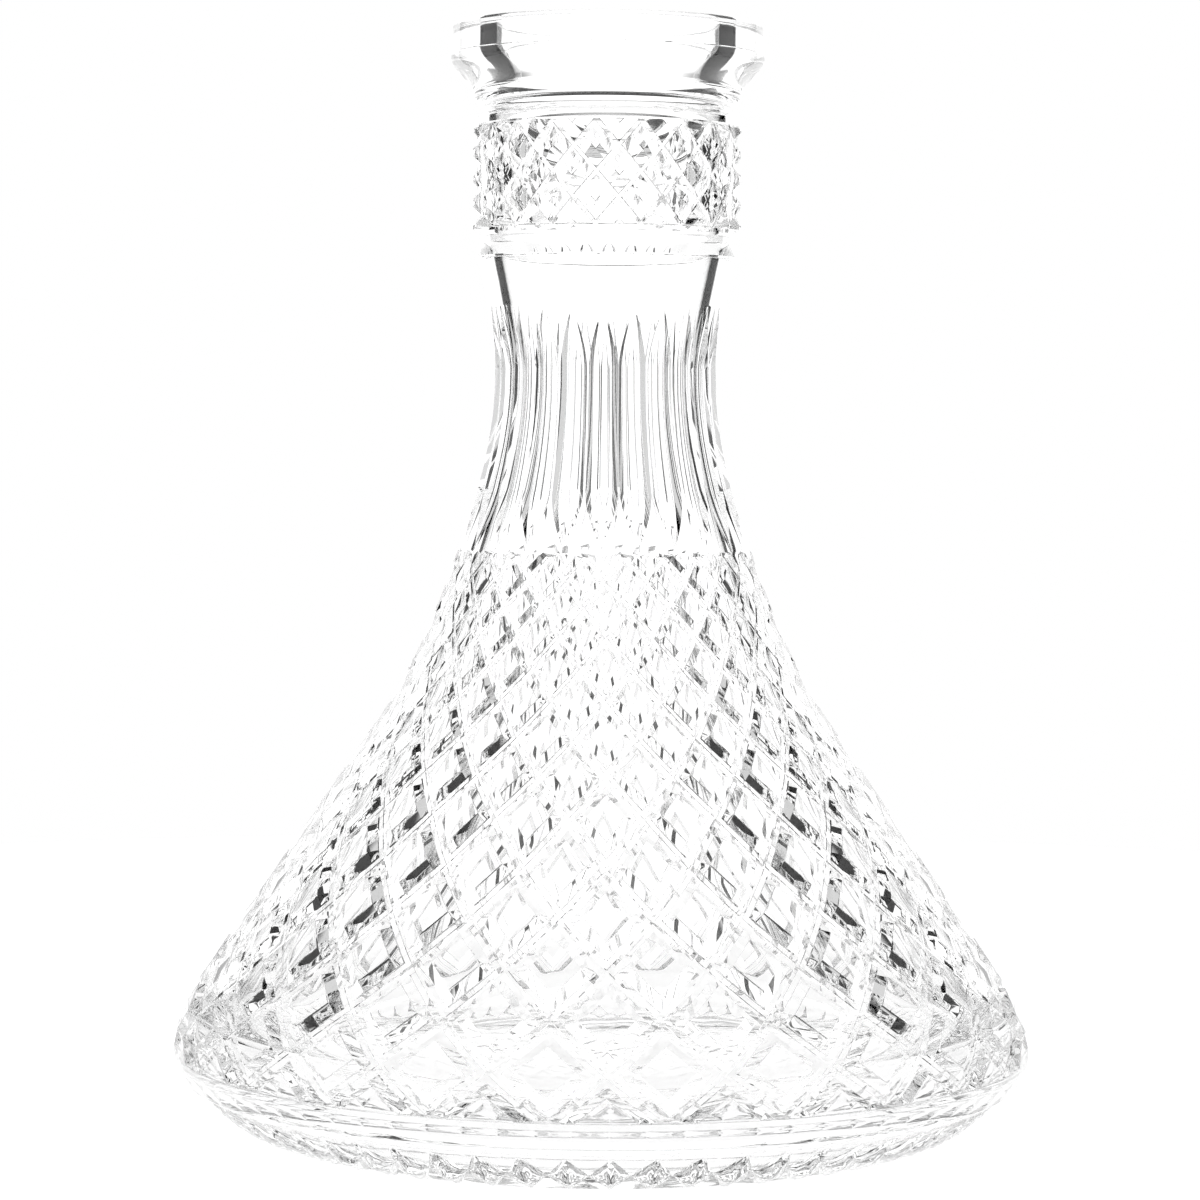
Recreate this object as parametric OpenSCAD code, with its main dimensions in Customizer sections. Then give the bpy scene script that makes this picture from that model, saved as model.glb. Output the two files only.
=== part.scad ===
// Wide-mouthed cut crystal vessel: one clear glass wall from toothed foot to flared rim.
// The wall is divided at level planes into one zone for each kind of cutting.
// Millimetres, +Z up, origin on the axis at the resting face. Angles run round the axis
// from the front (-Y), positive towards +X.

/* [Heights] */
// Height of the toothed foot, which is also the thickness of the glass floor
foot_h = 12.3; // [11:0.1:14]
// Height of the plain girdle above the foot
girdle_h = 6.35; // [5:0.05:8]
// Height of one half row of diamonds on the lower body
lower_row_h = 10.2; // [8:0.1:12]
// Height of the first half row of diamonds on the upper body
upper_row_first_h = 8.6; // [7:0.1:10]
// Height of the last half row of diamonds, under the flutes
upper_row_last_h = 5.5; // [4:0.1:7]
// Height of the fluted part of the neck
fluted_h = 57.75; // [50:0.05:65]
// Height of the plain part of the neck
plain_neck_h = 11.1; // [8:0.1:20]
// Height of the skirted ring under the collar
skirt_h = 7.1; // [6:0.1:10]
// Height of one half row of diamonds on the collar
collar_row_h = 5.95; // [5:0.05:7]
// Height of the land, groove and bead between the collar and the rim
bead_h = 10.6; // [9:0.1:13]
// Height of the flared rim
rim_h = 13.4; // [12:0.1:16]

/* [Radii] */
// Outer radius of the flat ring that the vessel stands on
foot_r = 78.7; // [70:0.1:85]
// Largest radius, at the girdle
girdle_r = 101.7; // [95:0.1:105]
// Radius where the round shoulder runs into the straight cone
cone_low_r = 90.9; // [85:0.1:93]
// Radius where the straight cone starts to sweep up into the neck
cone_high_r = 54.3; // [50:0.1:60]
// Radius at the foot of the neck, just above the last diamonds
neck_foot_r = 33.6; // [31:0.1:36]
// Radius of the waist, the thinnest place on the neck
waist_r = 26.2; // [25:0.1:28]
// Radius of the plain neck where it meets the skirted ring
neck_top_r = 30.2; // [29:0.1:31]
// Radius of the skirted ring at its sharp lower edge
skirt_r = 30.8; // [30.4:0.1:33]
// Radius over the points of the collar's diamonds
collar_r = 31.7; // [31:0.1:34]
// Radius of the upright face of the rim
rim_r = 36.85; // [35:0.05:40]
// Radius of the mouth's straight round bore
bore_r = 26.2; // [24:0.1:27]

/* [Glass] */
// Thickness of the wall, square to its surface
wall_t = 5.3; // [4.5:0.1:7]
// Depth of the shallow recess under the floor
recess_d = 1.6; // [0.5:0.1:3]
// Radius of the recess under the floor
recess_r = 66; // [50:1:70]

/* [Cutting] */
// Diamonds round the body, and flutes round the neck
body_count = 24; // [18:1:30]
// Turn of the body's diamonds from the front
body_phase = 0.7; // [-7.5:0.1:7.5]
// Half rows of diamonds on the lower body
lower_rows = 6; // [4:2:8]
// Half rows of diamonds on the upper body
upper_rows = 8; // [6:2:10]
// Depth of the body's cuts as a share of the half row's height
cut_share = 0.19; // [0.1:0.01:0.25]
// Width of each diamond's flat table as a share of the diamond
table_share = 0.5; // [0.3:0.05:0.7]
// Turn of the flutes from the front
flute_phase = -1.5; // [-7.5:0.1:7.5]
// Depth of the flutes on the neck
flute_d = 1.8; // [0.8:0.1:2.4]
// Width of a flute as a share of its pitch
flute_share = 0.94; // [0.5:0.02:0.96]
// Diamonds round the collar
collar_count = 18; // [14:1:24]
// Turn of the collar's diamonds from the front
collar_phase = 5.2; // [-10:0.1:10]
// Depth of the collar's cuts
collar_cut = 2.3; // [1:0.1:3]
// Width of the blunt point on each of the collar's diamonds, as a share of the diamond
collar_share = 0.14; // [0.05:0.01:0.5]
// Teeth round the foot
tooth_count = 60; // [48:1:72]
// Turn of the foot's teeth from the front
tooth_phase = -1.6; // [-3:0.1:3]
// Radius over the points of the teeth
tooth_r = 94; // [92:0.1:95]
// Height of the points of the teeth
tooth_z = 6.3; // [5.5:0.1:7]
// Radius of the valleys between the teeth
valley_r = 87.8; // [86:0.1:89]
// Height of the valleys between the teeth
valley_z = 5.3; // [4.5:0.1:6]

/* [Hidden] */
$fn = 160;
glass = [0.93, 0.95, 0.97, 0.45];

// Levels of the planes between zones, from the foot up
body_rows = lower_rows + upper_rows;
lower_body_h = lower_rows * lower_row_h;
upper_body_h = upper_rows * (upper_row_first_h + upper_row_last_h) / 2;
collar_rows = 4;
z_girdle = foot_h;
z_body = z_girdle + girdle_h;
z_mid_body = z_body + lower_body_h;
z_flutes = z_mid_body + upper_body_h;
z_plain = z_flutes + fluted_h;
z_skirt = z_plain + plain_neck_h;
z_collar = z_skirt + skirt_h;
z_bead = z_collar + collar_rows * collar_row_h;
z_rim = z_bead + bead_h;
z_top = z_rim + rim_h;

// Places on the outer profile, each [height, radius, change of radius per height]
cone_low_z = z_body + 22.85;
cone_high_z = z_body + 76.35;
cone_slope = (cone_high_r - cone_low_r) / (cone_high_z - cone_low_z);
waist_z = z_flutes + 42.1;
PROFILE = [
    [z_body, girdle_r, 0],
    [cone_low_z, cone_low_r, cone_slope],
    [cone_high_z, cone_high_r, cone_slope],
    [z_flutes + 3.7, neck_foot_r, -0.34],
    [waist_z, waist_r, 0],
    [z_skirt, neck_top_r, 0.2]];

// Round the inside corner at the floor, between the floor and the wall
corner_start_r = 74;
corner_pull_r = 12;
corner_top_z = z_body + 17.35;
corner_pull_z = 12;
wall_step = 6;

// Lean of the inner wall, as change of radius per height, where it enters the collar
throat_lean = 0.12;

// Shape of the rim: rounded edges, the small lip under its upright face, and its foot
rim_edge = 0.8;
rim_lip = 0.3;
rim_lip_z = z_top - 7.2;
rim_foot_r = 32.1;
rim_flare = [
    [rim_foot_r + 0.6, z_rim + 0.8],
    [rim_r - 2.2, z_rim + 3.2],
    [rim_r + rim_lip, rim_lip_z - 2.2],
    [rim_r + rim_lip, rim_lip_z]];

// Shape of the land, groove and bead under the rim
land_r = 31.2;
land_h = 2.1;
groove_pull_r = 28.4;
groove_pull_h = 0.8;
bead_r = 31.5;
bead_drop = 3.5;
bead_edge = 1.4;

// Shape of the skirted ring: its upright edge, its throat and the seat of the collar
skirt_edge_h = 0.5;
collar_seat_r = 29.6;
skirt_curve = [
    [skirt_r, z_skirt + skirt_edge_h],
    [skirt_r - 1.2, z_skirt + skirt_h * 0.4],
    [collar_seat_r - 1, z_skirt + skirt_h * 0.65],
    [collar_seat_r, z_collar]];

// Shape of the girdle: the lower edge, and the rib that stands proud above it
girdle_low_r = 99.6;
rib_h = 2.5;
rib_proud = 0.7;
rib_step_h = 0.5;

// Shape of the flutes: where their pointed ends start and how tall those are, how full the
// points are, how fast the cut runs out with the width, and the least width it runs out to.
// Each is a shallow floor between two steep sides, which start at a share of its half width
// and of its depth.
flute_foot_z = z_flutes + 2;
flute_head_z = z_plain - 0.6;
flute_foot_h = 12;
flute_head_h = 14;
flute_fullness = 1.55;
flute_run_out = 1.3;
flute_point = 0.06;
flute_floor = 0.7;
flute_floor_d = 0.88;

function hermite(a, b, z) = let (
    h = b[0] - a[0],
    t = (z - a[0]) / h)
    (2 * t ^ 3 - 3 * t ^ 2 + 1) * a[1] + (t ^ 3 - 2 * t ^ 2 + t) * h * a[2]
    + (3 * t ^ 2 - 2 * t ^ 3) * b[1] + (t ^ 3 - t ^ 2) * h * b[2];

// Outer radius of the uncut glass between the girdle and the skirted ring
function outer_r(z, i = 0) = i == len(PROFILE) - 2 || z <= PROFILE[i + 1][0]
    ? hermite(PROFILE[i], PROFILE[i + 1], z)
    : outer_r(z, i + 1);

function outer_slope(z) = (outer_r(z + 0.1) - outer_r(z - 0.1)) / 0.2;

// Inner radius of the same wall
function inner_r(z) = outer_r(z) - wall_t * sqrt(1 + outer_slope(z) ^ 2);

function bezier(a, b, c, d, steps) = [for (i = [0:steps]) let (t = i / steps, s = 1 - t)
    s ^ 3 * a + 3 * s ^ 2 * t * b + 3 * s * t ^ 2 * c + t ^ 3 * d];

function arc(centre, radius, from, to, steps) = [for (i = [0:steps])
    let (angle = from + (to - from) * i / steps)
    centre + radius * [cos(angle), sin(angle)]];

// A point at an angle from the front, a radius and a height
function around(angle, radius, z) = [radius * sin(angle), -radius * cos(angle), z];

// Height of the body's row of groove crossings with a given number, counted from the girdle
upper_row_loss = (upper_row_first_h - upper_row_last_h) / (upper_rows - 1);
function row_z(row) = row <= lower_rows
    ? z_body + row * lower_row_h
    : let (n = row - lower_rows) z_mid_body + n * upper_row_first_h - upper_row_loss * n * (n - 1) / 2;

function row_pitch(row) = row < lower_rows
    ? lower_row_h
    : upper_row_first_h - upper_row_loss * min(row - lower_rows, upper_rows - 1);

// Radius of the body's groove crossings on a row
function crossing_r(row) = outer_r(row_z(row)) - cut_share * row_pitch(row);

// The space inside: floor, round corner, wall, and the straight bore through the rim
module interior() {
    corner_top_r = inner_r(corner_top_z);
    corner_lean = outer_slope(corner_top_z);
    corner = bezier([corner_start_r, foot_h], [corner_start_r + corner_pull_r, foot_h],
        [corner_top_r - corner_pull_z * corner_lean, corner_top_z - corner_pull_z],
        [corner_top_r, corner_top_z], 10);
    wall = [for (z = [corner_top_z + wall_step:wall_step:z_skirt - wall_step / 2]) [inner_r(z), z]];
    throat_foot = [z_skirt, inner_r(z_skirt), throat_lean];
    throat_top = [z_rim, bore_r, 0];
    throat = [for (i = [0:6]) let (z = z_skirt + (z_rim - z_skirt) * i / 6)
        [hermite(throat_foot, throat_top, z), z]];
    mouth = arc([bore_r + rim_edge, z_top - rim_edge], rim_edge, 180, 90, 4);
    rotate_extrude()
        polygon(concat([[0, foot_h]], corner, wall, throat, mouth,
            [[bore_r + rim_edge, z_top + 1], [0, z_top + 1]]));
}

// A solid of revolution under an outline, from the axis out
module turned(outline) {
    rotate_extrude()
        polygon(concat([[0, outline[0][1]]], outline, [[0, outline[len(outline) - 1][1]]]));
}

// An index taken round the axis, so that the point after the last is the first
function wrap(i, count) = (i % count + count) % count;

// A band of diamonds between two rows of groove crossings. Each diamond is a low pyramid with
// a flat table for a top. For each row, heights, lows and highs give the height, the radius of
// the groove crossings and the radius of the tables. Even rows stand half a step round.
module diamond_band(count, phase, heights, lows, highs, share) {
    last = len(heights) - 1;
    step = 360 / count;
    function turn(row) = phase + (row % 2 == 0 ? step / 2 : 0);
    function crossing(i, row) = around(turn(row) + i * step, lows[row], heights[row]);
    function table(i, row, side, next) = around(
        turn(row) + (i + 0.5 + side * share / 2) * step,
        highs[row] + (highs[next] - highs[row]) * share,
        heights[row] + (heights[next] - heights[row]) * share);
    points = [for (row = [0:last], i = [0:count - 1]) each [
        crossing(i, row),
        table(i, row, -1, row),
        table(i, row, 1, row),
        table(i, row, 0, max(row - 1, 0)),
        table(i, row, 0, min(row + 1, last))]];
    function at(kind, i, row) = (row * count + wrap(i, count)) * 5 + kind;
    function left(i, row) = at(0, i, row);
    function right(i, row) = at(0, i + 1, row);
    function facing(i, row, next) = at(0, row % 2 == 0 ? i + 1 : i, next);
    upper_faces = [for (row = [0:last - 1], i = [0:count - 1]) each [
        [left(i, row), facing(i, row, row + 1), at(4, i, row), at(1, i, row)],
        [facing(i, row, row + 1), right(i, row), at(2, i, row), at(4, i, row)],
        [at(1, i, row), at(4, i, row), at(2, i, row)]]];
    lower_faces = [for (row = [1:last], i = [0:count - 1]) each [
        [left(i, row), at(1, i, row), at(3, i, row), facing(i, row, row - 1)],
        [facing(i, row, row - 1), at(3, i, row), at(2, i, row), right(i, row)],
        [at(1, i, row), at(2, i, row), at(3, i, row)]]];
    floor_face = [for (i = [0:count - 1]) each [at(0, i, 0), at(1, i, 0), at(2, i, 0)]];
    top_face = [for (i = [count - 1:-1:0]) each [at(2, i, last), at(1, i, last), at(0, i, last)]];
    polyhedron(points, concat(upper_faces, lower_faces, [floor_face, top_face]));
}

// A range of the body's rows, cut with diamonds. The range starts on an even row.
module body_band(first, last) {
    rows = [for (row = [first:last]) row];
    difference() {
        diamond_band(body_count, body_phase,
            [for (row = rows) row_z(row)],
            [for (row = rows) crossing_r(row)],
            [for (row = rows) outer_r(row_z(row))], table_share);
        interior();
    }
}

// Share of a flute's full width at a height: pointed at both ends, full between them
function flute_width(z) = let (
    up = (z - flute_foot_z) / flute_foot_h,
    down = (flute_head_z - z) / flute_head_h,
    t = max(0, min(1, up, down)))
    max(flute_point, 1 - (1 - t) ^ flute_fullness);

// Flared rim with an upright face, a small lip under it, and the mouth's straight bore
module mouth_rim() {
    outline = concat(
        [[rim_foot_r, z_rim]],
        bezier(rim_flare[0], rim_flare[1], rim_flare[2], rim_flare[3], 6),
        [[rim_r, rim_lip_z + rim_lip]],
        arc([rim_r - rim_edge, z_top - rim_edge], rim_edge, 0, 90, 4));
    color(glass)
        difference() {
            turned(outline);
            interior();
        }
}

// Land, round groove and bead between the collar and the rim
module rim_bead() {
    bead_z = z_rim - bead_drop;
    groove = bezier([land_r, z_bead + land_h], [groove_pull_r, z_bead + land_h + groove_pull_h],
        [groove_pull_r, bead_z - groove_pull_h], [bead_r, bead_z], 8);
    color(glass)
        difference() {
            turned(concat([[land_r, z_bead]], groove, [[bead_r, z_rim - bead_edge], [rim_foot_r, z_rim]]));
            interior();
        }
}

// Collar of pointed diamonds
module diamond_collar() {
    rows = [for (row = [0:collar_rows]) row];
    color(glass)
        difference() {
            diamond_band(collar_count, collar_phase,
                [for (row = rows) z_collar + row * collar_row_h],
                [for (row = rows) collar_r - collar_cut],
                [for (row = rows) collar_r], collar_share);
            interior();
        }
}

// Ring under the collar, flared like a skirt to a sharp lower edge
module collar_skirt() {
    outline = concat([[skirt_r, z_skirt]],
        bezier(skirt_curve[0], skirt_curve[1], skirt_curve[2], skirt_curve[3], 6));
    color(glass)
        difference() {
            turned(outline);
            interior();
        }
}

// Smooth neck between the flutes and the ring
module plain_neck() {
    color(glass)
        difference() {
            turned([for (i = [0:4]) let (z = z_plain + plain_neck_h * i / 4) [outer_r(z), z]]);
            interior();
        }
}

// Neck with hollow flutes that run out to points at both ends
module fluted_neck() {
    step = 360 / body_count;
    levels = concat([z_flutes],
        [for (t = [0, 0.12, 0.3, 0.6]) flute_foot_z + t * flute_foot_h],
        [for (t = [0:0.2:1]) flute_foot_z + flute_foot_h
            + t * (flute_head_z - flute_head_h - flute_foot_z - flute_foot_h)],
        [for (t = [0.6, 0.3, 0.12, 0]) flute_head_z - t * flute_head_h],
        [z_plain]);
    // Across a flute, each [share of its half width, share of its depth]; then the rib
    places = [[-1, 0], [-flute_floor, flute_floor_d], [0, 1], [flute_floor, flute_floor_d], [1, 0]];
    per = len(places) + 1;
    size = body_count * per;
    rings = [for (z = levels, i = [0:body_count - 1], k = [0:per - 1]) let (
        width = flute_width(z),
        place = k < len(places) ? places[k] : [0, 0],
        angle = k < len(places) ? place[0] * width * flute_share / 2 : 0.5,
        depth = flute_d * width ^ flute_run_out * place[1],
        cut = z <= flute_foot_z || z >= flute_head_z ? 0 : depth)
        around(flute_phase + (i + angle) * step, outer_r(z) - cut, z)];
    sides = [for (ring = [0:len(levels) - 2], k = [0:size - 1]) let (
        low = ring * size,
        next = (k + 1) % size)
        [low + k, low + size + k, low + size + next, low + next]];
    floor_face = [for (k = [0:size - 1]) k];
    top_face = [for (k = [size - 1:-1:0]) (len(levels) - 1) * size + k];
    color(glass)
        difference() {
            polyhedron(rings, concat(sides, [floor_face, top_face]));
            interior();
        }
}

// Upper body: diamonds that shrink towards the neck
module upper_diamond_body() {
    color(glass) body_band(lower_rows, body_rows);
}

// Lower body: diamonds of one height, over the shoulder and down to the girdle
module lower_diamond_body() {
    color(glass) body_band(0, lower_rows);
}

// Plain girdle, the widest place, with a rib round its upper half
module girdle_band() {
    rib_z = z_body - rib_h;
    color(glass)
        difference() {
            turned([[girdle_low_r, z_girdle], [girdle_r - rib_proud, rib_z],
                [girdle_r, rib_z + rib_step_h], [girdle_r, z_body]]);
            interior();
        }
}

// Sloping foot with a ring of pointed teeth, open in the middle for the floor disc
module toothed_foot() {
    step = 360 / tooth_count;
    points = [for (i = [0:tooth_count - 1]) each [
        around(tooth_phase + i * step, foot_r, 0),
        around(tooth_phase + (i + 0.5) * step, valley_r, valley_z),
        around(tooth_phase + i * step, tooth_r, tooth_z),
        around(tooth_phase + i * step, girdle_low_r, z_girdle)]];
    function foot(i) = wrap(i, tooth_count) * 4;
    function valley(i) = foot(i) + 1;
    function point(i) = foot(i) + 2;
    function head(i) = foot(i) + 3;
    facets = [for (i = [0:tooth_count - 1]) each [
        [foot(i), valley(i - 1), point(i)],
        [valley(i - 1), head(i), point(i)],
        [head(i), valley(i), point(i)],
        [valley(i), foot(i), point(i)],
        [foot(i), valley(i), foot(i + 1)],
        [head(i), head(i + 1), valley(i)]]];
    floor_face = [for (i = [0:tooth_count - 1]) foot(i)];
    top_face = [for (i = [tooth_count - 1:-1:0]) head(i)];
    color(glass)
        difference() {
            polyhedron(points, concat(facets, [floor_face, top_face]));
            translate([0, 0, -1]) cylinder(h = foot_h + 2, r = recess_r);
        }
}

// Thick floor inside the foot, with a shallow recess under it
module base_disc() {
    color(glass)
        translate([0, 0, recess_d]) cylinder(h = foot_h - recess_d, r = recess_r);
}

mouth_rim();
rim_bead();
diamond_collar();
collar_skirt();
plain_neck();
fluted_neck();
upper_diamond_body();
lower_diamond_body();
girdle_band();
toothed_foot();
base_disc();
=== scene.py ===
"""A cut crystal vessel: one closed, finely faceted mesh of clear glass on a pale floor."""
import math

import bpy
import numpy as np
from mathutils import Matrix, Vector, noise


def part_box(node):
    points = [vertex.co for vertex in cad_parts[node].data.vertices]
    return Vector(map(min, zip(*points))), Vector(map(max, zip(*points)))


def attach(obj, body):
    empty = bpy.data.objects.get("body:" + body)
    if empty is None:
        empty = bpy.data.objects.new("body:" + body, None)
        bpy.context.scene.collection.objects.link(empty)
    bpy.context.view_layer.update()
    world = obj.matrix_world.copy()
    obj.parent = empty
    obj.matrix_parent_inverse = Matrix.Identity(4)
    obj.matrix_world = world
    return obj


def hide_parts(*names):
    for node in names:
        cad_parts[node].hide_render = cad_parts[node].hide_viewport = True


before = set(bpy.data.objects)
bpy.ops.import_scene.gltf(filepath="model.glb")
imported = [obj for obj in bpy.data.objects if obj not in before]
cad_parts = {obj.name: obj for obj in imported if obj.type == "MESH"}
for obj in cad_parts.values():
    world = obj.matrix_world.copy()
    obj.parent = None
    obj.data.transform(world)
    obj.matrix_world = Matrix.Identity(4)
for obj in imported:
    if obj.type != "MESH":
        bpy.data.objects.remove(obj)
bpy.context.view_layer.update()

# The mesh is worked out in millimetres and made in metres.
MM = 0.001


def low(node):
    """Height of a CAD node's underside, in millimetres."""
    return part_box(node)[0].z / MM


def high(node):
    """Height of a CAD node's top, in millimetres."""
    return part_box(node)[1].z / MM


# Levels, from the CAD model
Z_GIRDLE = low("girdle_band")
Z_BODY = high("girdle_band")
Z_FLUTES = low("fluted_neck")
Z_PLAIN = low("plain_neck")
Z_SKIRT = low("collar_skirt")
Z_COLLAR = low("diamond_collar")
Z_BEAD = low("rim_bead")
Z_RIM = low("mouth_rim")
Z_TOP = high("mouth_rim")

# Outer profile of the uncut glass: [height, radius, change of radius per height]
GIRDLE_R = 101.6
CONE_LOW = (Z_BODY + 22.85, 90.9)
CONE_HIGH = (Z_BODY + 76.35, 54.3)
CONE_SLOPE = (CONE_HIGH[1] - CONE_LOW[1]) / (CONE_HIGH[0] - CONE_LOW[0])
PROFILE = [
    (Z_BODY, GIRDLE_R, 0.0),
    (*CONE_LOW, CONE_SLOPE),
    (*CONE_HIGH, CONE_SLOPE),
    (Z_FLUTES + 3.7, 33.6, -0.34),
    (Z_FLUTES + 42.1, 26.2, 0.0),
    (Z_SKIRT, 30.2, 0.2),
]
WALL = 5.3

# Cutting of the body, flutes, collar and foot
BODY_COUNT = 24
BODY_PHASE = 0.7
LOWER_ROWS = 6
UPPER_ROWS = 8
BODY_ROWS = LOWER_ROWS + UPPER_ROWS
LOWER_ROW = 10.2
Z_MID = Z_BODY + LOWER_ROWS * LOWER_ROW
UPPER_FIRST = 8.6
UPPER_LAST = 2 * (Z_FLUTES - Z_MID) / UPPER_ROWS - UPPER_FIRST
UPPER_LOSS = (UPPER_FIRST - UPPER_LAST) / (UPPER_ROWS - 1)
# Depth of the body's cuts, as a share of the half row's height
BODY_CUT = 0.215
FLUTE_PHASE = -1.5
FLUTE_DEPTH = 1.8
# Width of a flute as a share of its pitch
FLUTE_SHARE = 0.94
# Where the flutes start and end, and the heights of their pointed ends
FLUTE_LOW = Z_FLUTES + 2.0
FLUTE_HIGH = Z_PLAIN - 0.6
FLUTE_FOOT = 12.0
FLUTE_HEAD = 14.0
# How full the points are, how fast the cut runs out with the width, and the least width
FLUTE_FULLNESS = 1.55
FLUTE_RUN_OUT = 1.3
FLUTE_POINT = 0.04
# Where the uncut glass starts beside a flute, as a share of the flute's half width
FLUTE_LAND = 1.04
# Height at each end of the flutes over which the rings are close together
FLUTE_FINE = 15
COLLAR_COUNT = 18
COLLAR_ROWS = 4
COLLAR_PHASE = 5.2
COLLAR_R = 31.7
COLLAR_CUT = 2.3
TOOTH_COUNT = 60
TOOTH_PHASE = -1.6
TOOTH_RISE = 2.3
TOOTH_TOP = 9.8
FOOT_R = 78.7
FOOT_TOP_R = 99.6
VALLEY_Z = 4.4

# Plain parts: recess, rib, skirted ring, land, groove, lip, rim and bore
RECESS_DEPTH = 1.6
RIB_LOW = Z_BODY - 2.5
SKIRT_R = 30.8
LAND_R = 31.2
GROOVE_PULL_R = 28.3
LIP_R = 37.15
RIM_R = 36.85
RIM_EDGE = 0.8
BORE_R = 26.2

# Inside corner at the floor: where it starts on the wall and ends on the floor, and its pulls
CORNER_Z = Z_BODY + 17.35
CORNER_PULL = 12
CORNER_PULL_R = 86
CORNER_END_R = 74

# Profile of the cuts, from the middle of a groove to the diamond's table: [share of the way to
# the next groove, share of the cut's depth]. A fine channel, a flat floor, a steep foot, the
# bevel, and a steep lip round the table.
BODY_CUTS = [(0, 1), (0.02, 1), (0.027, 0.93), (0.1, 0.9), (0.113, 0.75), (0.235, 0.14), (0.248, 0)]
COLLAR_CUTS = [(0, 1), (0.05, 1), (0.068, 0.85), (0.4, 0.15), (0.42, 0)]
TOOTH_STOPS = [0, 0.06, 0.2, 0.42, 0.5]
# Profile of a flute, from its middle line to its edge, in the same way
FLUTE_CUTS = [(0, 1), (0.55, 0.97), (0.7, 0.88), (1, 0)]
# Edges sharper than this many degrees stay crisp
CRISP_ANGLE = 25
# The inner wall is wavy below the first of these heights, and nearly smooth above the second
WAVES_START = 45
WAVES_END = 120
WAVES_LEAST = 0.12
# Sizes and lengths of the coarse and the fine waves
COARSE_WAVE = 0.25
COARSE_LENGTH = 11
FINE_WAVE = 0.12
FINE_LENGTH = 5
# Points round a plain ring of the outside, the girdle and the inside
LATHE_COUNT = 168
GIRDLE_COUNT = 240
INNER_COUNT = 128
# Rings whose first points are nearer than this, in degrees, are joined with quads
SAME_TURN = 1.0
# Points of a band count as one where they agree to one part in this many of a step
KEY_SCALE = 1e5

# Brightness of the studio: by the angle round from straight behind the vessel, and by the
# angle above the horizon, each as [degrees, brightness] stops
AROUND_STOPS = [(0, 1.0), (38, 1.0), (41, 0.0), (72, 0.0), (76, 0.48), (180, 0.48)]
ABOVE_STOPS = [(-90, 0.75), (-40, 0.9), (0, 1.0), (36, 1.0),
               (38, 0.0), (60, 0.0), (64, 0.45), (90, 0.45)]
STUDIO_LIGHT = 1.4
GLASS_IOR = 1.54
GLASS_BOUNCES = 32

# Floor and camera, in metres; the roll is in degrees
FLOOR_R = 0.6
FLOOR_DROP = 0.0002
FLOOR_GLOW = 0.92
EYE = (0, -0.8586, 0.1667)
AIM = (-0.001, 0, 0.1245)
LENS = 108.45
ROLL = 0.38


def hermite(a, b, z):
    h = b[0] - a[0]
    t = (z - a[0]) / h
    return ((2 * t**3 - 3 * t**2 + 1) * a[1] + (t**3 - 2 * t**2 + t) * h * a[2]
            + (3 * t**2 - 2 * t**3) * b[1] + (t**3 - t**2) * h * b[2])


def outer_r(z):
    """Outer radius of the uncut glass between the girdle and the skirted ring."""
    for a, b in zip(PROFILE, PROFILE[1:]):
        if z <= b[0]:
            return hermite(a, b, z)
    return hermite(PROFILE[-2], PROFILE[-1], z)


def outer_slope(z):
    return (outer_r(z + 0.1) - outer_r(z - 0.1)) / 0.2


def inner_r(z):
    """Inner radius of the same wall."""
    return outer_r(z) - WALL * math.sqrt(1 + outer_slope(z) ** 2)


def body_z(row):
    """Height of a row of the body, for any number of rows up from the girdle."""
    if row <= LOWER_ROWS:
        return Z_BODY + row * LOWER_ROW
    n = row - LOWER_ROWS
    return Z_MID + n * UPPER_FIRST - UPPER_LOSS * n * (n - 1) / 2


def body_pitch(row):
    """Height of the half rows near a row."""
    blend = min(max((row - LOWER_ROWS + 1) / 2, 0), 1)
    upper = UPPER_FIRST - UPPER_LOSS * min(max(row - LOWER_ROWS, 0), UPPER_ROWS - 1)
    return LOWER_ROW + (upper - LOWER_ROW) * blend


def mirrored(stops):
    return stops + [1 - x for x in reversed(stops) if x < 0.5]


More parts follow.
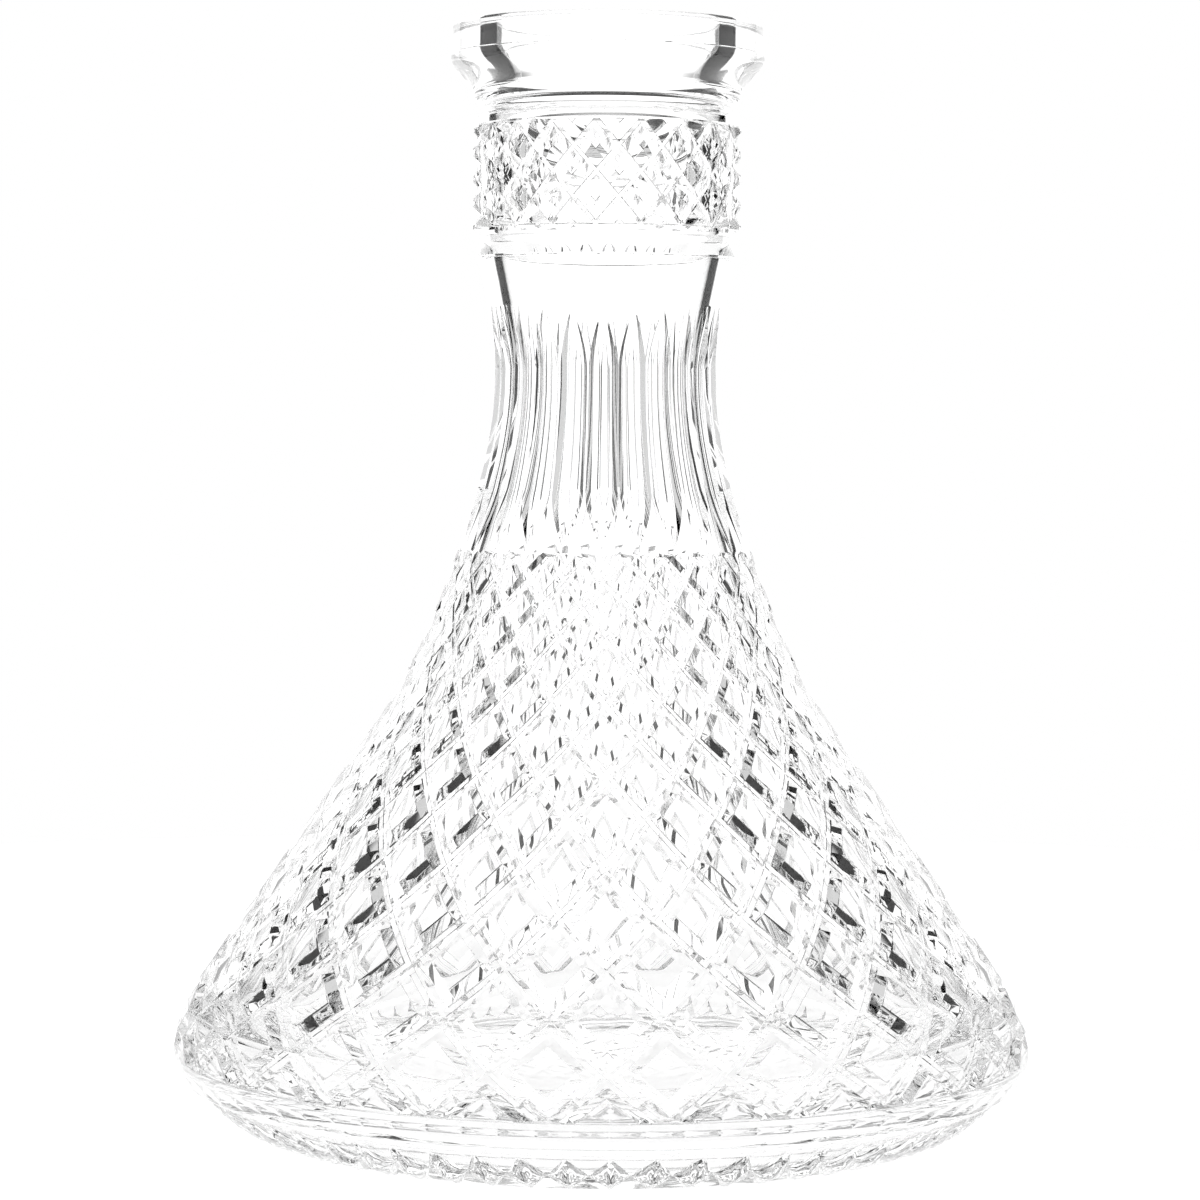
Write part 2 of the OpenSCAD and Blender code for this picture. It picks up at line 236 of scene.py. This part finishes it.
class Shell:
    """The one closed surface, built ring by ring from the middle of the underside, over the
    outside and the rim, and down the inside to the middle of the floor."""

    def __init__(self):
        self.points = []
        self.faces = []
        self.ring = None

    def add(self, angle, radius, z):
        """A point at an angle from the front, positive towards +X."""
        a = math.radians(angle)
        self.points.append((radius * math.sin(a), -radius * math.cos(a), z))
        return len(self.points) - 1

    def join(self, ring):
        """Fills the gap between the last ring and this one, and makes this one the last."""
        last = self.ring
        self.ring = ring
        if last is None:
            return
        if len(last) == 1:
            self.faces += [(last[0][1], a[1], b[1])[::-1] for a, b in around_pairs(ring)]
            return
        if len(ring) == 1:
            self.faces += [(a[1], b[1], ring[0][1]) for a, b in around_pairs(last)]
            return
        if len(last) == len(ring) and abs(last[0][0] - ring[0][0]) < SAME_TURN:
            for (a, b), (c, d) in zip(around_pairs(last), around_pairs(ring)):
                self.faces.append((a[1], b[1], d[1], c[1]))
            return
        self.zip(last, ring)

    def zip(self, last, ring):
        """Triangles between two rings with different numbers of points."""
        n, m = len(last), len(ring)
        start = min(range(m), key=lambda j: abs((ring[j][0] - last[0][0] + 180) % 360 - 180))
        ring = ring[start:] + ring[:start]
        offset = (ring[0][0] - last[0][0] + 180) % 360 - 180 - ring[0][0] + last[0][0]
        left = [a for a, _ in last] + [last[0][0] + 360]
        base = ring[0][0]
        right = [(a - base) % 360 + base + offset for a, _ in ring] + [base + 360 + offset]
        i = j = 0
        while i < n or j < m:
            if j >= m or (i < n and left[i + 1] <= right[j + 1]):
                self.faces.append((last[i][1], last[(i + 1) % n][1], ring[j % m][1]))
                i += 1
            else:
                self.faces.append((last[i % n][1], ring[(j + 1) % m][1], ring[j][1]))
                j += 1

    def lathe(self, outline, count):
        """Plain rings along an outline of [radius, height] points."""
        for radius, z in outline:
            if radius == 0:
                self.join([(0.0, self.add(0, 0, z))])
            else:
                self.join([(i * 360 / count, self.add(i * 360 / count, radius, z))
                           for i in range(count)])

    def band(self, count, phase, rows, stops, place):
        """A band of diamonds. Each diamond is a grid of quads along its own two directions. For
        a row, the shares of the way from the nearest groove of each direction, and the row of
        the diamond's middle, place() gives radius and height."""
        step = 360 / count
        stops = mirrored(stops)
        last = len(stops) - 1
        made = {}
        rings = {0: [], rows: []}

        def point(centre_row, centre, i, j):
            s, t = stops[i], stops[j]
            row = centre_row + s - t
            turn = centre + (s + t - 1) / 2
            key = (round(turn * KEY_SCALE) % round(count * KEY_SCALE), round(row * KEY_SCALE))
            if key not in made:
                radius, z = place(row, min(s, 1 - s), min(t, 1 - t), centre_row)
                angle = (phase + turn * step) % 360
                made[key] = self.add(angle, radius, z)
                if key[1] in (0, round(rows * KEY_SCALE)):
                    rings[round(row)].append((angle, made[key]))
            return made[key]

        for row in range(rows + 1):
            for k in range(count):
                centre = k + (0 if row % 2 == 0 else 0.5)
                for i in range(last):
                    for j in range(last):
                        if row == 0 and i < j or row == rows and i > j:
                            continue
                        corners = [(i, j), (i, j + 1), (i + 1, j + 1), (i + 1, j)]
                        if row == 0 and i == j:
                            corners.remove((i, j + 1))
                        if row == rows and i == j:
                            corners.remove((i + 1, j))
                        # A quad is split from its first corner, so that the split follows the mitre
                        if (2 * i < last) != (2 * j < last):
                            corners = corners[1:] + corners[:1]
                        self.faces.append(tuple(point(row, centre, a, b) for a, b in corners))
        self.join(sorted(rings[0]))
        self.ring = sorted(rings[rows])

    def mesh(self, name):
        """The mesh object, in metres: smooth, but crisp along its sharper edges."""
        data = bpy.data.meshes.new(name)
        data.from_pydata([tuple(c * MM for c in p) for p in self.points], [], self.faces)
        data.validate()
        data.update()
        for polygon in data.polygons:
            polygon.use_smooth = True
        data.set_sharp_from_angle(angle=math.radians(CRISP_ANGLE))
        obj = bpy.data.objects.new(name, data)
        bpy.context.scene.collection.objects.link(obj)
        return obj


def around_pairs(ring):
    return zip(ring, ring[1:] + ring[:1])


def bezier(a, b, c, d, steps):
    out = []
    for i in range(steps + 1):
        t = i / steps
        s = 1 - t
        out.append(tuple(s**3 * a[k] + 3 * s * s * t * b[k] + 3 * s * t * t * c[k] + t**3 * d[k]
                         for k in (0, 1)))
    return out


def arc(centre, radius, start, end, steps):
    return [(centre[0] + radius * math.cos(math.radians(start + (end - start) * i / steps)),
             centre[1] + radius * math.sin(math.radians(start + (end - start) * i / steps)))
            for i in range(steps + 1)]


def depth(cuts, ds, dt):
    """Share of the full depth where two directions of cuts meet: the deeper one counts."""
    return float(np.interp(min(ds, dt), *zip(*cuts)))


def on_body(row, ds, dt, _):
    """Radius and height of the cut body."""
    z = body_z(row)
    cut = depth(BODY_CUTS, ds, dt) * BODY_CUT * body_pitch(row)
    slope = outer_slope(z)
    square = math.sqrt(1 + slope * slope)
    return outer_r(z) - cut / square, z + cut * slope / square


def on_collar(row, ds, dt, _):
    """Radius and height of the cut collar."""
    z = Z_COLLAR + (Z_BEAD - Z_COLLAR) * row / COLLAR_ROWS
    return COLLAR_R - depth(COLLAR_CUTS, ds, dt) * COLLAR_CUT, z


def on_foot(row, ds, dt, centre_row):
    """The sloping foot: a plain cone, with a pointed dome for each tooth."""
    z = row * VALLEY_Z if row <= 1 else VALLEY_Z + (row - 1) * (TOOTH_TOP - VALLEY_Z)
    radius = FOOT_R + (FOOT_TOP_R - FOOT_R) * z / Z_GIRDLE
    if centre_row != 1:
        return radius, z
    rise = TOOTH_RISE * (1 - (1 - 2 * min(ds, dt)) ** 2)
    slope = math.hypot(FOOT_TOP_R - FOOT_R, Z_GIRDLE)
    return radius + rise * Z_GIRDLE / slope, z - rise * (FOOT_TOP_R - FOOT_R) / slope


def flute_width(z):
    """Share of a flute's full width at a height: pointed at both ends, full between them."""
    up = (z - FLUTE_LOW) / FLUTE_FOOT
    down = (FLUTE_HIGH - z) / FLUTE_HEAD
    t = max(0, min(1, up, down))
    return 1 - (1 - t) ** FLUTE_FULLNESS


def build_vessel():
    shell = Shell()
    # Underside: a shallow ground recess and the flat ring it stands on
    shell.lathe([(0, RECESS_DEPTH), (20, RECESS_DEPTH), (45, 1.58), (60, 1.5), (64.4, 1.1), (65.7, 0.35),
                 (66.6, 0.0), (72, 0.0), (77.6, 0.0)], LATHE_COUNT)
    shell.band(TOOTH_COUNT, TOOTH_PHASE, 2, TOOTH_STOPS, on_foot)
    shell.lathe([(FOOT_TOP_R + 0.1, Z_GIRDLE + 0.1), (100.5, Z_GIRDLE + 1.9),
                 (101.0, RIB_LOW - 0.4), (101.2, RIB_LOW), (101.5, RIB_LOW + 0.5),
                 (GIRDLE_R, RIB_LOW + 1.1), (GIRDLE_R, Z_BODY - 0.35),
                 (GIRDLE_R - 0.1, Z_BODY - 0.1)], GIRDLE_COUNT)
    shell.band(BODY_COUNT, BODY_PHASE, BODY_ROWS, [x for x, _ in BODY_CUTS], on_body)
    flutes(shell)
    shell.lathe([(outer_r(z), z) for z in np.linspace(Z_PLAIN, Z_SKIRT - 0.2, 6)], LATHE_COUNT)
    skirt(shell)
    shell.band(COLLAR_COUNT, COLLAR_PHASE, COLLAR_ROWS, [x for x, _ in COLLAR_CUTS], on_collar)
    rim(shell)
    inside(shell)
    return shell.mesh("crystal_vessel")


def flutes(shell):
    """Hollow flutes that run out to points at both ends."""
    step = 360 / BODY_COUNT
    half = [(x, deep) for x, deep in FLUTE_CUTS if x > 0]
    across = [(-x, deep) for x, deep in reversed(half)] + [(0, 1)] + half
    fine_low = Z_FLUTES + FLUTE_FINE
    fine_high = Z_PLAIN - FLUTE_FINE
    for z in np.concatenate([np.linspace(Z_FLUTES + 0.6, fine_low, 12)[:-1],
                             np.linspace(fine_low, fine_high, 6)[:-1],
                             np.linspace(fine_high, Z_PLAIN - 0.4, 13)]):
        width = flute_width(z)
        wide = max(width, FLUTE_POINT) * FLUTE_SHARE / 2
        radius = outer_r(z)
        ring = []
        for k in range(BODY_COUNT):
            places = [(-0.5, 0), (-wide * FLUTE_LAND, 0)]
            places += [(x * wide, deep) for x, deep in across]
            places += [(wide * FLUTE_LAND, 0)]
            for turn, deep in places:
                angle = FLUTE_PHASE + (k + turn) * step
                cut = FLUTE_DEPTH * width ** FLUTE_RUN_OUT * deep
                ring.append((angle, shell.add(angle, radius - cut, z)))
        shell.join(ring)


def skirt(shell):
    """Ring under the collar, flared like a skirt to a sharp lower edge."""
    height = Z_COLLAR - Z_SKIRT
    outline = [(30.25, Z_SKIRT + 0.02), (SKIRT_R - 0.15, Z_SKIRT + 0.05), (SKIRT_R, Z_SKIRT + 0.2)]
    outline += bezier((SKIRT_R, Z_SKIRT + 0.5), (29.6, Z_SKIRT + height * 0.4),
                      (28.6, Z_SKIRT + height * 0.65), (29.4, Z_COLLAR - 0.2), 8)
    shell.lathe(outline, LATHE_COUNT)


def rim(shell):
    """Land, groove and bead above the collar, then the flared rim with its lip and mouth."""
    outline = [(LAND_R - 0.3, Z_BEAD + 0.05), (LAND_R, Z_BEAD + 0.4), (LAND_R, Z_BEAD + 1.6)]
    outline += bezier((LAND_R - 0.15, Z_BEAD + 2.0), (GROOVE_PULL_R, Z_BEAD + 2.8),
                      (GROOVE_PULL_R, Z_RIM - 5.3), (LAND_R, Z_RIM - 4.6), 9)
    outline += [(31.45, Z_RIM - 4.2), (31.5, Z_RIM - 3.2), (31.6, Z_RIM - 2.4)]
    outline += bezier((31.9, Z_RIM - 1.7), (34.0, Z_RIM + 0.4), (LIP_R, Z_RIM + 2.7),
                      (LIP_R, Z_TOP - 7.4), 9)
    outline += [(37.1, Z_TOP - 7.15), (36.9, Z_TOP - 6.9), (RIM_R, Z_TOP - 6.4),
                (RIM_R, Z_TOP - 4), (RIM_R, Z_TOP - 1.0)]
    outline += arc((RIM_R - RIM_EDGE, Z_TOP - RIM_EDGE), RIM_EDGE, 0, 90, 5)
    outline += [(31.5, Z_TOP)]
    outline += arc((BORE_R + RIM_EDGE, Z_TOP - RIM_EDGE), RIM_EDGE, 90, 180, 4)
    shell.lathe(outline, LATHE_COUNT)


def inside(shell):
    """The smooth inner wall, with the slight waves of blown glass, and the floor."""
    throat_low = (Z_SKIRT, inner_r(Z_SKIRT), inner_r(Z_SKIRT) - inner_r(Z_SKIRT - 1))
    throat_high = (Z_RIM, BORE_R, 0)
    outline = [(BORE_R, Z_RIM)]
    outline += [(hermite(throat_low, throat_high, z), z)
                for z in np.linspace(Z_RIM, Z_SKIRT, 10)[1:]]
    outline += [(inner_r(z), z) for z in np.arange(Z_SKIRT - 5, CORNER_Z + 2, -5)]
    corner_r = inner_r(CORNER_Z)
    pull = (corner_r - CORNER_PULL * outer_slope(CORNER_Z), CORNER_Z - CORNER_PULL)
    outline += bezier((corner_r, CORNER_Z), pull, (CORNER_PULL_R, Z_GIRDLE),
                      (CORNER_END_R, Z_GIRDLE), 14)
    outline += [(60, Z_GIRDLE), (40, Z_GIRDLE), (20, Z_GIRDLE), (0, Z_GIRDLE)]
    start = len(shell.points)
    shell.lathe(outline, INNER_COUNT)
    for n in range(start, len(shell.points)):
        x, y, z = shell.points[n]
        radius = math.hypot(x, y)
        if z > Z_SKIRT or radius < 1:
            continue
        share = max(WAVES_LEAST, min(1, (WAVES_END - z) / (WAVES_END - WAVES_START)))
        place = Vector((x, y, z))
        wave = COARSE_WAVE * noise.noise(place / COARSE_LENGTH)
        wave += FINE_WAVE * noise.noise(place / FINE_LENGTH)
        wave *= share
        if z < Z_GIRDLE + 0.01:
            shell.points[n] = (x, y, z + wave)
        else:
            shell.points[n] = (x * (1 + wave / radius), y * (1 + wave / radius), z)


def weight_normals(obj):
    """Normals led by the larger faces, so that flat facets look flat up to their crisp edges."""
    modifier = obj.modifiers.new("weighted", "WEIGHTED_NORMAL")
    modifier.mode = "FACE_AREA"
    modifier.weight = 80
    modifier.keep_sharp = True


def crystal():
    """Clear polished glass, with a very slight waviness of its surface."""
    material = bpy.data.materials.new("cut_crystal")
    material.use_nodes = True
    nodes, links = material.node_tree.nodes, material.node_tree.links
    shader = nodes["Principled BSDF"]
    shader.inputs["Base Color"].default_value = (1, 1, 1, 1)
    shader.inputs["Roughness"].default_value = 0.0
    shader.inputs["IOR"].default_value = GLASS_IOR
    shader.inputs["Transmission Weight"].default_value = 1.0
    place = nodes.new("ShaderNodeTexCoord")
    waves = nodes.new("ShaderNodeTexNoise")
    waves.inputs["Scale"].default_value = 60
    waves.inputs["Detail"].default_value = 2
    bump = nodes.new("ShaderNodeBump")
    bump.inputs["Strength"].default_value = 0.03
    bump.inputs["Distance"].default_value = 0.001
    links.new(place.outputs["Object"], waves.inputs["Vector"])
    links.new(waves.outputs["Fac"], bump.inputs["Height"])
    links.new(bump.outputs["Normal"], shader.inputs["Normal"])
    return material


def floor():
    """A pale floor that glows, so that it almost melts into the white behind it."""
    bpy.ops.mesh.primitive_circle_add(vertices=64, radius=FLOOR_R, fill_type="NGON",
                                      location=(0, 0, -FLOOR_DROP))
    obj = bpy.context.object
    obj.name = "floor"
    material = bpy.data.materials.new("pale_floor")
    material.use_nodes = True
    shader = material.node_tree.nodes["Principled BSDF"]
    shader.inputs["Base Color"].default_value = (0.4, 0.4, 0.4, 1)
    shader.inputs["Roughness"].default_value = 0.6
    shader.inputs["Emission Color"].default_value = (1, 1, 1, 1)
    shader.inputs["Emission Strength"].default_value = FLOOR_GLOW
    obj.data.materials.append(material)


def maths(tree, operation, first, second=None):
    """A math node whose inputs are sockets or numbers."""
    node = tree.nodes.new("ShaderNodeMath")
    node.operation = operation
    for socket, value in zip(node.inputs, (first, second)):
        if isinstance(value, bpy.types.NodeSocket):
            tree.links.new(value, socket)
        elif value is not None:
            socket.default_value = value
    return node.outputs[0]


def ramp(tree, source, lowest, highest, stops, name):
    """A colour ramp over an angle in radians, with its stops in degrees."""
    share = maths(tree, "DIVIDE", maths(tree, "SUBTRACT", source, math.radians(lowest)),
                  math.radians(highest - lowest))
    node = tree.nodes.new("ShaderNodeValToRGB")
    node.name = name
    tree.links.new(share, node.inputs[0])
    elements = node.color_ramp.elements
    while len(elements) < len(stops):
        elements.new(0.5)
    for element, (angle, value) in zip(elements, stops):
        element.position = (angle - lowest) / (highest - lowest)
        element.color = (value, value, value, 1)
    return node.outputs[0]


def studio():
    """A white studio with dark gaps between its light panels, beside and above the backdrop. The
    camera itself sees plain white there, while the glass sees the panels and the gaps."""
    world = bpy.data.worlds.new("studio")
    bpy.context.scene.world = world
    world.use_nodes = True
    tree = world.node_tree
    nodes, links = tree.nodes, tree.links
    nodes.clear()
    out = nodes.new("ShaderNodeOutputWorld")
    place = nodes.new("ShaderNodeTexCoord")
    split = nodes.new("ShaderNodeSeparateXYZ")
    links.new(place.outputs["Generated"], split.inputs[0])
    turn = maths(tree, "ARCTAN2", maths(tree, "ABSOLUTE", split.outputs["X"]), split.outputs["Y"])
    rise = maths(tree, "ARCSINE", split.outputs["Z"])
    gaps = maths(tree, "MINIMUM", ramp(tree, turn, 0, 180, AROUND_STOPS, "around"),
                 ramp(tree, rise, -90, 90, ABOVE_STOPS, "above"))
    light = nodes.new("ShaderNodeBackground")
    light.name = "panels"
    light.inputs["Strength"].default_value = STUDIO_LIGHT
    links.new(gaps, light.inputs["Color"])
    plain = nodes.new("ShaderNodeBackground")
    plain.inputs["Color"].default_value = (1, 1, 1, 1)
    seen = nodes.new("ShaderNodeLightPath")
    mix = nodes.new("ShaderNodeMixShader")
    links.new(seen.outputs["Is Camera Ray"], mix.inputs[0])
    links.new(light.outputs[0], mix.inputs[1])
    links.new(plain.outputs[0], mix.inputs[2])
    links.new(mix.outputs[0], out.inputs["Surface"])


def camera():
    """Slightly above the middle of the vessel, tilted down a little and rolled a touch."""
    eye = Vector(EYE)
    aim = Vector(AIM)
    data = bpy.data.cameras.new("camera")
    data.lens = LENS
    data.sensor_width = 36
    data.clip_end = 20
    obj = bpy.data.objects.new("camera", data)
    bpy.context.scene.collection.objects.link(obj)
    look = (aim - eye).to_track_quat("-Z", "Y").to_matrix().to_4x4()
    roll = Matrix.Rotation(math.radians(ROLL), 4, "Z")
    obj.matrix_world = Matrix.Translation(eye) @ look @ roll
    bpy.context.scene.camera = obj


def main():
    vessel = build_vessel()
    weight_normals(vessel)
    vessel.data.materials.append(crystal())
    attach(vessel, "root")
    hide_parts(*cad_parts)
    floor()
    studio()
    camera()
    # Light that is reflected inside the glass many times over still has to get out of it
    paths = bpy.context.scene.cycles
    paths.max_bounces = paths.transmission_bounces = paths.glossy_bounces = GLASS_BOUNCES
    view = bpy.context.scene.view_settings
    view.view_transform = "Standard"
    view.look = "None"


main()
